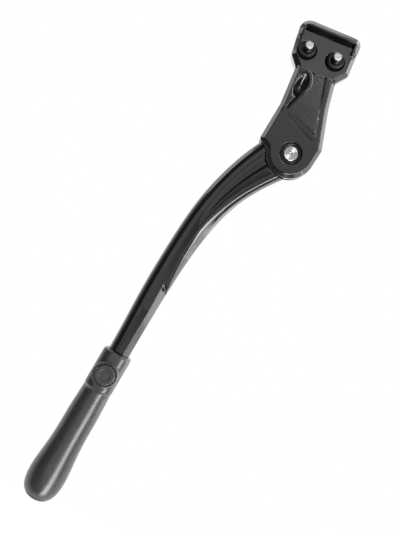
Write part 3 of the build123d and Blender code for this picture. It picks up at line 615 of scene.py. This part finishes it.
tang = plate("tang", circle(13.0), -4, 4)
shank = finer_copy("leg", "shank")
bpy.ops.object.mode_set(mode="EDIT")
bpy.ops.mesh.select_all(action="SELECT")
bpy.ops.mesh.bisect(
    plane_co=pivot_frame @ ((shank_top - shank_down * 0.5) * MM),
    plane_no=pivot_frame.to_3x3() @ -shank_down,
    use_fill=True,
    clear_outer=True,
)
bpy.ops.object.mode_set(mode="OBJECT")
bpy.ops.object.select_all(action="DESELECT")
for piece in (tang, shank, leg):
    piece.select_set(True)
bpy.context.view_layer.objects.active = leg
bpy.ops.object.join()
soften(leg, 0.00025, 4)
ease(leg, traced([(-39.1, -100.6), (-35.5, -107.1)], -4.6), 2.4 * MM, 60)
thin(leg)
cut_away(leg, plate("bush_bore", circle(6.5), -9, 9))
bpy.ops.object.shade_smooth_by_angle(angle=radians(40))
fit(leg, black_paint, "leg", "leg")


# Pivot bush and thrust washers: a sintered bronze bush pressed into the tang, and a slippery
# plastic washer on each side of it against the ears.
bronze, tree, shader, place = start_finish("bronze")
shader.inputs["Metallic"].default_value = 1.0
mottle = graded(tree, cloud(tree, place, 0.0008), 0.0, 1.0)
tree.links.new(tinted(tree, mottle, (0.48, 0.32, 0.16), (0.60, 0.43, 0.24)), shader.inputs["Base Color"])
tree.links.new(graded(tree, cloud(tree, place, 0.0005), 0.34, 0.46), shader.inputs["Roughness"])
dress("pivot_bush", bronze)
dress("thrust_washers", slide_plastic)


# Shank end: a turned plate on the shank's lower end that stops the foot at full length.
# A slotted screw holds it.
dress("shank_end_plate", turned_steel)
dress("shank_end_screw", turned_steel)


# Foot: collar and bell, the two halves of a moulding in dark grey nylon with a fine spark grain.
# They are welded together at the seam across the button.
foot_plastic, tree, shader, place = start_finish("foot_plastic")
shader.inputs["IOR"].default_value = 1.55
shader.inputs["Coat Weight"].default_value = 0.7
shader.inputs["Coat Roughness"].default_value = 0.28
mottle = graded(tree, cloud(tree, place, 0.004, 4.0), 0.0, 1.0)
tree.links.new(tinted(tree, mottle, (0.030, 0.029, 0.033), (0.041, 0.039, 0.044)), shader.inputs["Base Color"])
tree.links.new(graded(tree, cloud(tree, place, 0.003), 0.30, 0.37), shader.inputs["Roughness"])
tree.links.new(relief(tree, cloud(tree, place, 0.0004, 3.0), 0.000004), shader.inputs["Normal"])

housing_foot = []
for i in range(180):
    angle = tau * i / 180
    spot = shank_top + shank_down * 26.5 + shank_across * 9.0 * cos(angle) + Vector((0, 0.6 + 10.5 * sin(angle), 0))
    if sin(angle) > -0.6 or abs(cos(angle)) > 0.6:
        housing_foot.append(pivot_frame @ (spot * MM))

neck_top = 29.5
flare_end = 85
inner_reach = 8.6
flank = smooth_line([(8.9, -24), (9.5, -42), (9.7, -58), (10.7, -72), (11.7, -flare_end)], (0, -1), (0, -1))
flank_line = [flank(i / 400) for i in range(401)]
flank_depths = [-point.z for point in flank_line]
flank_radii = [point.x for point in flank_line]


def true_up(bell):
    """Makes the neck and flare as round as the turned mould they come from."""
    back = pivot_frame.inverted()
    for corner in bell.data.vertices:
        spot = back @ corner.co / MM - shank_top
        low = spot.dot(shank_down)
        side = spot - shank_down * low
        if neck_top < low < flare_end and side.length > inner_reach:
            wanted = numpy.interp(low, flank_depths, flank_radii)
            corner.co = pivot_frame @ ((shank_top + shank_down * low + side * (wanted / side.length)) * MM)


for node, name in (("collar", "foot_collar"), ("foot_sleeve", "foot_bell")):
    half = finer_copy(node, name)
    soften(half, 0.00022, 4)
    if node == "foot_sleeve":
        true_up(half)
        ease(half, housing_foot, 4.5 * MM, 160)
    thin(half)
    fit(half, foot_plastic, "foot", node)


# Guide liner: a thin sleeve of the brake shoe's slippery plastic that runs on the shank.
# It is pushed into the collar's mouth from above.
dress("guide_liner", slide_plastic)


# Sole plug: moulded rubber, pushed into the foot's end, where it makes the middle of the dome.
# It is matt and a little dusty.
sole_rubber, tree, shader, place = start_finish("sole_rubber")
mottle = graded(tree, cloud(tree, place, 0.002, 5.0), 0.0, 1.0)
tree.links.new(tinted(tree, mottle, (0.038, 0.038, 0.040), (0.052, 0.052, 0.055)), shader.inputs["Base Color"])
tree.links.new(graded(tree, cloud(tree, place, 0.002), 0.55, 0.72), shader.inputs["Roughness"])
tree.links.new(relief(tree, cloud(tree, place, 0.0005, 3.0), 0.00004), shader.inputs["Normal"])

sole = finer_copy("sole_plug", "sole")
soften(sole, 0.00016, 3)
fit(sole, sole_rubber, "foot", "sole_plug")


# Button: the same moulding as the foot, with a raised ring on its dished face.
# Behind it a steel yoke and its hard pad grip the shank, and a bowed leaf pushes them back.
button = finer_copy("button", "push_button")
soften(button, 0.00012, 4)
fit(button, foot_plastic, "button", "button")
dress("lock_yoke", turned_steel)
dress("grip_pad", spring_steel)

leaf = finer_copy("lock_spring", "leaf")
soften(leaf, 0.00008, 2)
fit(leaf, spring_steel, "foot", "lock_spring")
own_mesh(leaf)


# Studio: a sheet of pale paper as floor, low enough for the foot at full length, a white surround,
# and soft boxes in front, at both sides and above.
paper, tree, shader, place = start_finish("floor_paper")
tree.nodes.remove(shader)
path = tree.nodes.new("ShaderNodeLightPath")
seen = tree.nodes.new("ShaderNodeMath")
seen.operation = "MAXIMUM"
tree.links.new(path.outputs["Is Glossy Ray"], seen.inputs[0])
tree.links.new(path.outputs["Is Transmission Ray"], seen.inputs[1])
matt = tree.nodes.new("ShaderNodeBsdfDiffuse")
grain = graded(tree, cloud(tree, place, 0.002), 0.0, 1.0)
tree.links.new(tinted(tree, grain, (0.66, 0.66, 0.66), (0.70, 0.70, 0.70)), matt.inputs["Color"])
lift = tree.nodes.new("ShaderNodeEmission")
level = tree.nodes.new("ShaderNodeMath")
level.operation = "MULTIPLY"
level.inputs[1].default_value = 0.74
tree.links.new(path.outputs["Is Camera Ray"], level.inputs[0])
tree.links.new(level.outputs["Value"], lift.inputs["Strength"])
lit = tree.nodes.new("ShaderNodeAddShader")
tree.links.new(matt.outputs["BSDF"], lit.inputs[0])
tree.links.new(lift.outputs["Emission"], lit.inputs[1])
glow = tree.nodes.new("ShaderNodeEmission")
blend = tree.nodes.new("ShaderNodeMixShader")
tree.links.new(seen.outputs["Value"], blend.inputs["Fac"])
tree.links.new(lit.outputs["Shader"], blend.inputs[1])
tree.links.new(glow.outputs["Emission"], blend.inputs[2])
tree.links.new(blend.outputs["Shader"], tree.nodes["Material Output"].inputs["Surface"])

room_for_foot = 41 * MM
floor_z = cad_box[0][2] - room_for_foot
bpy.ops.object.select_all(action="DESELECT")
bpy.ops.mesh.primitive_plane_add(size=1.2, location=(0, 0.658, floor_z))
floor = bpy.context.active_object
floor.name = "floor"
floor.data.materials.append(paper)

camera_right = Vector((0.9225, -0.0802, 0.3775))
camera_up = Vector((-0.3859, -0.1918, 0.9023))
camera_back = Vector((0, -0.97815, -0.20791))
middle = Vector((-0.0181, 0.0422, -0.1383))

world = bpy.data.worlds.new("studio")
bpy.context.scene.world = world
world.use_nodes = True
tree = world.node_tree
backdrop = tree.nodes["Background"]
backdrop.inputs["Color"].default_value = (1, 1, 1, 1)
path = tree.nodes.new("ShaderNodeLightPath")
way = tree.nodes.new("ShaderNodeTexCoord")
towards = tree.nodes.new("ShaderNodeVectorMath")
towards.operation = "DOT_PRODUCT"
towards.inputs[1].default_value = camera_back
tree.links.new(way.outputs["Generated"], towards.inputs[0])
off_axis = tree.nodes.new("ShaderNodeMath")
off_axis.operation = "ARCCOSINE"
tree.links.new(towards.outputs["Value"], off_axis.inputs[0])
room = tree.nodes.new("ShaderNodeValToRGB")
room_tones = [(0, 0.03), (2.5, 0.06), (6.5, 0.60), (19, 0.60), (30, 0.05), (84, 0.04), (103, 1.0)]
ramp = room.color_ramp
while len(ramp.elements) < len(room_tones):
    ramp.elements.new(0.5)
for element, (degrees, tone) in zip(ramp.elements, room_tones):
    element.position = degrees / 180
    element.color = (tone, tone, tone, 1)
half_turn = tree.nodes.new("ShaderNodeMath")
half_turn.operation = "DIVIDE"
half_turn.inputs[1].default_value = pi
tree.links.new(off_axis.outputs["Value"], half_turn.inputs[0])
tree.links.new(half_turn.outputs["Value"], room.inputs["Fac"])
mirrored = tree.nodes.new("ShaderNodeMix")
mirrored.data_type = "FLOAT"
mirrored.inputs["A"].default_value = 0.4
tree.links.new(path.outputs["Is Glossy Ray"], mirrored.inputs["Factor"])
tree.links.new(room.outputs["Color"], mirrored.inputs["B"])
strength = tree.nodes.new("ShaderNodeMath")
strength.operation = "MAXIMUM"
tree.links.new(path.outputs["Is Camera Ray"], strength.inputs[0])
tree.links.new(mirrored.outputs["Result"], strength.inputs[1])
tree.links.new(strength.outputs["Value"], backdrop.inputs["Strength"])


def soft_box(name, right, up, back, width, height, power, upright=camera_up):
    """An area lamp at that offset from the object's middle, as the camera sees it, and aimed at it."""
    lamp = bpy.data.lights.new(name, "AREA")
    lamp.shape = "RECTANGLE"
    lamp.size = width
    lamp.size_y = height
    lamp.energy = power
    lamp_object = bpy.data.objects.new(name, lamp)
    away = camera_right * right + camera_up * up + camera_back * back
    lamp_object.location = middle + away
    facing = away.normalized()
    side = upright.cross(facing).normalized()
    turn = Matrix((side, facing.cross(side), facing)).transposed()
    lamp_object.rotation_euler = turn.to_euler()
    lamp_object.visible_camera = False
    bpy.context.scene.collection.objects.link(lamp_object)


foot_way = (camera_right * 0.42 + camera_up * 0.906).normalized()
soft_box("key_box", 0.145, -0.448, 0.36, 0.20, 0.82, 4.5, foot_way)
soft_box("front_right_box", 0.36, 0.12, 0.36, 0.06, 0.30, 0.4)
soft_box("side_box", 0.30, -0.12, -0.03, 0.45, 0.25, 0.58)
soft_box("low_box", 0.15, -0.17, -0.04, 0.20, 0.12, 0.10)
soft_box("right_box", 0.45, 0.18, -0.04, 0.16, 0.46, 0.62)
soft_box("left_box", -0.12, 0.225, 0.015, 0.09, 0.10, 0.046)
soft_box("top_box", 0.06, 0.60, -0.04, 0.46, 0.14, 0.27, camera_back)
soft_box("front_box", 0.215, 0.24, 0.50, 0.09, 0.09, 0.15)
soft_box("seat_box", 0.20, 0.40, 0.41, 0.30, 0.25, 0.20)

camera = bpy.data.cameras.new("camera")
camera.sensor_fit = "VERTICAL"
camera.sensor_height = 36
camera.lens = 72.7
camera_object = bpy.data.objects.new("camera", camera)
camera_place = Vector((-0.0181, -0.59355, -0.27341))
camera_axes = Matrix((camera_right, camera_up, camera_back)).transposed().to_4x4()
camera_object.matrix_world = Matrix.Translation(camera_place) @ camera_axes
bpy.context.scene.collection.objects.link(camera_object)
bpy.context.scene.camera = camera_object
bpy.context.scene.view_settings.view_transform = "Standard"
